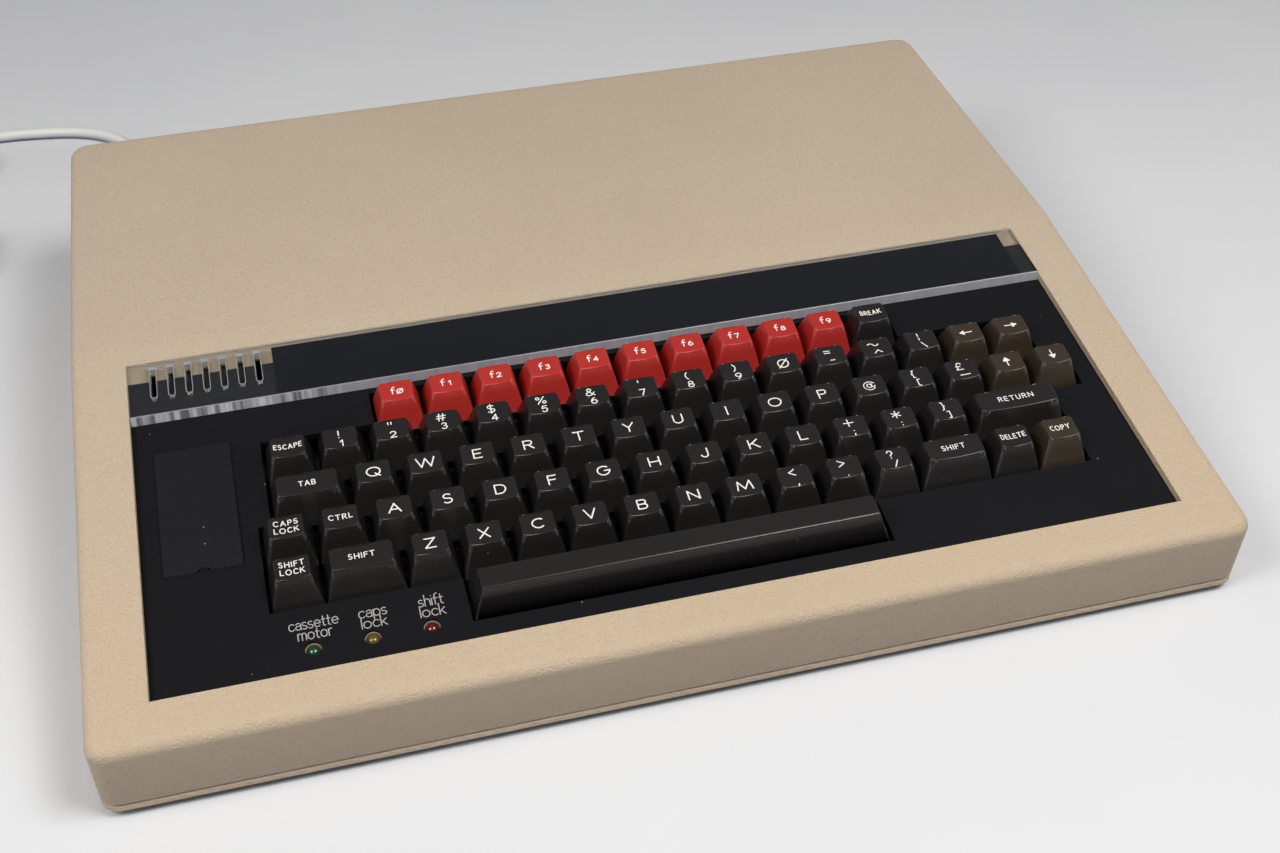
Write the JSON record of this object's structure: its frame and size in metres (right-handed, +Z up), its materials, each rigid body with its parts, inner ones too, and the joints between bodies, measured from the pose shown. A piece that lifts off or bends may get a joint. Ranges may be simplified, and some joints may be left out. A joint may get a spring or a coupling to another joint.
{
  "type": "vintage home computer",
  "caption": "Wedge-shaped cream home computer with a full keyboard, red function keys, clear strip, rear sockets and a coiled mains lead.",
  "frame": {"origin": "on the table, under the middle of the case", "axes": "+X to the right along the case's width, -Y towards the typist, +Z up"},
  "size_m": [0.5675, 0.5103, 0.0742],
  "materials": {
    "case_cream": "fine leather-grain moulded plastic, cream",
    "surround_black": "lightly textured black plastic",
    "clear_acrylic": "clear acrylic",
    "printed_strip": "dark printed backing under clear acrylic",
    "key_black": "black key cap, light legends",
    "key_red": "red key cap",
    "key_brown": "dark brown key cap",
    "switch_plastic": "off-white moulded plastic",
    "light_lens": "coloured lens",
    "circuit_board": "green board lacquer",
    "chip_plastic": "black moulded package",
    "heatsink_black": "black anodised",
    "supply_cream": "cream moulded plastic",
    "switch_black": "black switch plastic",
    "foot_rubber": "black rubber",
    "socket_metal": "plated metal",
    "socket_plastic": "black socket plastic",
    "screw_steel": "zinc plated",
    "ribbon_grey": "grey ribbon cable",
    "speaker_metal": "pressed steel",
    "cord_white": "off-white flexible sheath",
    "plug_white": "off-white moulded plug",
    "plug_brass": "brass pins"
  },
  "bodies": {
    "case": {"upper_case": "case_cream", "lower_case": "case_cream", "keyboard_surround": "surround_black", "clear_strip": "clear_acrylic", "strip_label": "printed_strip", "slot_cover": "surround_black", "keyboard_board": "circuit_board", "key_switches": "switch_plastic", "status_lights": "light_lens", "keyboard_ribbon": "ribbon_grey", "speaker": "speaker_metal", "main_board": "circuit_board", "circuit_chips": "chip_plastic", "chip_heatsink": "heatsink_black", "power_supply": "supply_cream", "switch_frame": "switch_black", "aerial_socket": "socket_metal", "video_socket": "socket_metal", "din_sockets": "socket_plastic", "analogue_socket": "socket_metal", "expansion_headers": "socket_plastic", "rubber_feet": "foot_rubber", "fixing_screws": "screw_steel", "cord_grommet": "cord_white", "mains_cord": "cord_white", "cord_coil": "cord_white", "coil_tie": "switch_black", "mains_plug": "plug_white", "plug_pins": "plug_brass"},
    "rocker": {"rocker_switch": "switch_black"},
    "key_f0": {"key_f0": "key_red"},
    "key_f1": {"key_f1": "key_red"},
    "key_f2": {"key_f2": "key_red"},
    "key_f3": {"key_f3": "key_red"},
    "key_f4": {"key_f4": "key_red"},
    "key_f5": {"key_f5": "key_red"},
    "key_f6": {"key_f6": "key_red"},
    "key_f7": {"key_f7": "key_red"},
    "key_f8": {"key_f8": "key_red"},
    "key_f9": {"key_f9": "key_red"},
    "key_break": {"key_break": "key_black"},
    "key_escape": {"key_escape": "key_black"},
    "key_left": {"key_left": "key_brown"},
    "key_right": {"key_right": "key_brown"},
    "key_tab": {"key_tab": "key_black"},
    "key_up": {"key_up": "key_brown"},
    "key_down": {"key_down": "key_brown"},
    "key_caps_lock": {"key_caps_lock": "key_black"},
    "key_ctrl": {"key_ctrl": "key_black"},
    "key_return": {"key_return": "key_black"},
    "key_shift_lock": {"key_shift_lock": "key_black"},
    "key_shift_left": {"key_shift_left": "key_black"},
    "key_shift_right": {"key_shift_right": "key_black"},
    "key_delete": {"key_delete": "key_black"},
    "key_copy": {"key_copy": "key_brown"},
    "key_space": {"key_space": "key_black"},
    "number_row_keys": {"number_row_keys": "key_black"},
    "upper_letter_keys": {"upper_letter_keys": "key_black"},
    "middle_letter_keys": {"middle_letter_keys": "key_black"},
    "lower_letter_keys": {"lower_letter_keys": "key_black"}
  },
  "joints": [
    {"name": "rocker_tilt", "type": "hinge", "parent": "case", "child": "rocker", "pos_m": [-0.183, 0.1635, 0.033], "axis": [1, 0, 0], "range_deg": [0, 20]},
    {"name": "key_f0_travel", "type": "slide", "parent": "case", "child": "key_f0", "axis": [0, 0.1685, -0.9857], "range_m": [0, 0.0038], "stiffness_N_per_m": 100, "springref_m": -0.003},
    {"name": "key_f1_travel", "type": "slide", "parent": "case", "child": "key_f1", "axis": [0, 0.1685, -0.9857], "range_m": [0, 0.0038], "stiffness_N_per_m": 100, "springref_m": -0.003},
    {"name": "key_f2_travel", "type": "slide", "parent": "case", "child": "key_f2", "axis": [0, 0.1685, -0.9857], "range_m": [0, 0.0038], "stiffness_N_per_m": 100, "springref_m": -0.003},
    {"name": "key_f3_travel", "type": "slide", "parent": "case", "child": "key_f3", "axis": [0, 0.1685, -0.9857], "range_m": [0, 0.0038], "stiffness_N_per_m": 100, "springref_m": -0.003},
    {"name": "key_f4_travel", "type": "slide", "parent": "case", "child": "key_f4", "axis": [0, 0.1685, -0.9857], "range_m": [0, 0.0038], "stiffness_N_per_m": 100, "springref_m": -0.003},
    {"name": "key_f5_travel", "type": "slide", "parent": "case", "child": "key_f5", "axis": [0, 0.1685, -0.9857], "range_m": [0, 0.0038], "stiffness_N_per_m": 100, "springref_m": -0.003},
    {"name": "key_f6_travel", "type": "slide", "parent": "case", "child": "key_f6", "axis": [0, 0.1685, -0.9857], "range_m": [0, 0.0038], "stiffness_N_per_m": 100, "springref_m": -0.003},
    {"name": "key_f7_travel", "type": "slide", "parent": "case", "child": "key_f7", "axis": [0, 0.1685, -0.9857], "range_m": [0, 0.0038], "stiffness_N_per_m": 100, "springref_m": -0.003},
    {"name": "key_f8_travel", "type": "slide", "parent": "case", "child": "key_f8", "axis": [0, 0.1685, -0.9857], "range_m": [0, 0.0038], "stiffness_N_per_m": 100, "springref_m": -0.003},
    {"name": "key_f9_travel", "type": "slide", "parent": "case", "child": "key_f9", "axis": [0, 0.1685, -0.9857], "range_m": [0, 0.0038], "stiffness_N_per_m": 100, "springref_m": -0.003},
    {"name": "key_break_travel", "type": "slide", "parent": "case", "child": "key_break", "axis": [0, 0.1685, -0.9857], "range_m": [0, 0.0038], "stiffness_N_per_m": 100, "springref_m": -0.003},
    {"name": "key_escape_travel", "type": "slide", "parent": "case", "child": "key_escape", "axis": [0, 0.1685, -0.9857], "range_m": [0, 0.0038], "stiffness_N_per_m": 100, "springref_m": -0.003},
    {"name": "key_left_travel", "type": "slide", "parent": "case", "child": "key_left", "axis": [0, 0.1685, -0.9857], "range_m": [0, 0.0038], "stiffness_N_per_m": 100, "springref_m": -0.003},
    {"name": "key_right_travel", "type": "slide", "parent": "case", "child": "key_right", "axis": [0, 0.1685, -0.9857], "range_m": [0, 0.0038], "stiffness_N_per_m": 100, "springref_m": -0.003},
    {"name": "key_tab_travel", "type": "slide", "parent": "case", "child": "key_tab", "axis": [0, 0.1685, -0.9857], "range_m": [0, 0.0038], "stiffness_N_per_m": 100, "springref_m": -0.003},
    {"name": "key_up_travel", "type": "slide", "parent": "case", "child": "key_up", "axis": [0, 0.1685, -0.9857], "range_m": [0, 0.0038], "stiffness_N_per_m": 100, "springref_m": -0.003},
    {"name": "key_down_travel", "type": "slide", "parent": "case", "child": "key_down", "axis": [0, 0.1685, -0.9857], "range_m": [0, 0.0038], "stiffness_N_per_m": 100, "springref_m": -0.003},
    {"name": "key_caps_lock_travel", "type": "slide", "parent": "case", "child": "key_caps_lock", "axis": [0, 0.1685, -0.9857], "range_m": [0, 0.0038], "stiffness_N_per_m": 100, "springref_m": -0.003},
    {"name": "key_ctrl_travel", "type": "slide", "parent": "case", "child": "key_ctrl", "axis": [0, 0.1685, -0.9857], "range_m": [0, 0.0038], "stiffness_N_per_m": 100, "springref_m": -0.003},
    {"name": "key_return_travel", "type": "slide", "parent": "case", "child": "key_return", "axis": [0, 0.1685, -0.9857], "range_m": [0, 0.0038], "stiffness_N_per_m": 100, "springref_m": -0.003},
    {"name": "key_shift_lock_travel", "type": "slide", "parent": "case", "child": "key_shift_lock", "axis": [0, 0.1685, -0.9857], "range_m": [0, 0.0038], "stiffness_N_per_m": 100, "springref_m": -0.003},
    {"name": "key_shift_left_travel", "type": "slide", "parent": "case", "child": "key_shift_left", "axis": [0, 0.1685, -0.9857], "range_m": [0, 0.0038], "stiffness_N_per_m": 100, "springref_m": -0.003},
    {"name": "key_shift_right_travel", "type": "slide", "parent": "case", "child": "key_shift_right", "axis": [0, 0.1685, -0.9857], "range_m": [0, 0.0038], "stiffness_N_per_m": 100, "springref_m": -0.003},
    {"name": "key_delete_travel", "type": "slide", "parent": "case", "child": "key_delete", "axis": [0, 0.1685, -0.9857], "range_m": [0, 0.0038], "stiffness_N_per_m": 100, "springref_m": -0.003},
    {"name": "key_copy_travel", "type": "slide", "parent": "case", "child": "key_copy", "axis": [0, 0.1685, -0.9857], "range_m": [0, 0.0038], "stiffness_N_per_m": 100, "springref_m": -0.003},
    {"name": "key_space_travel", "type": "slide", "parent": "case", "child": "key_space", "axis": [0, 0.1685, -0.9857], "range_m": [0, 0.0038], "stiffness_N_per_m": 160, "springref_m": -0.003},
    {"name": "number_row_keys_travel", "type": "slide", "parent": "case", "child": "number_row_keys", "axis": [0, 0.1685, -0.9857], "range_m": [0, 0.0038], "stiffness_N_per_m": 1300, "springref_m": -0.003},
    {"name": "upper_letter_keys_travel", "type": "slide", "parent": "case", "child": "upper_letter_keys", "axis": [0, 0.1685, -0.9857], "range_m": [0, 0.0038], "stiffness_N_per_m": 1300, "springref_m": -0.003},
    {"name": "middle_letter_keys_travel", "type": "slide", "parent": "case", "child": "middle_letter_keys", "axis": [0, 0.1685, -0.9857], "range_m": [0, 0.0038], "stiffness_N_per_m": 1200, "springref_m": -0.003},
    {"name": "lower_letter_keys_travel", "type": "slide", "parent": "case", "child": "lower_letter_keys", "axis": [0, 0.1685, -0.9857], "range_m": [0, 0.0038], "stiffness_N_per_m": 1000, "springref_m": -0.003}
  ]
}
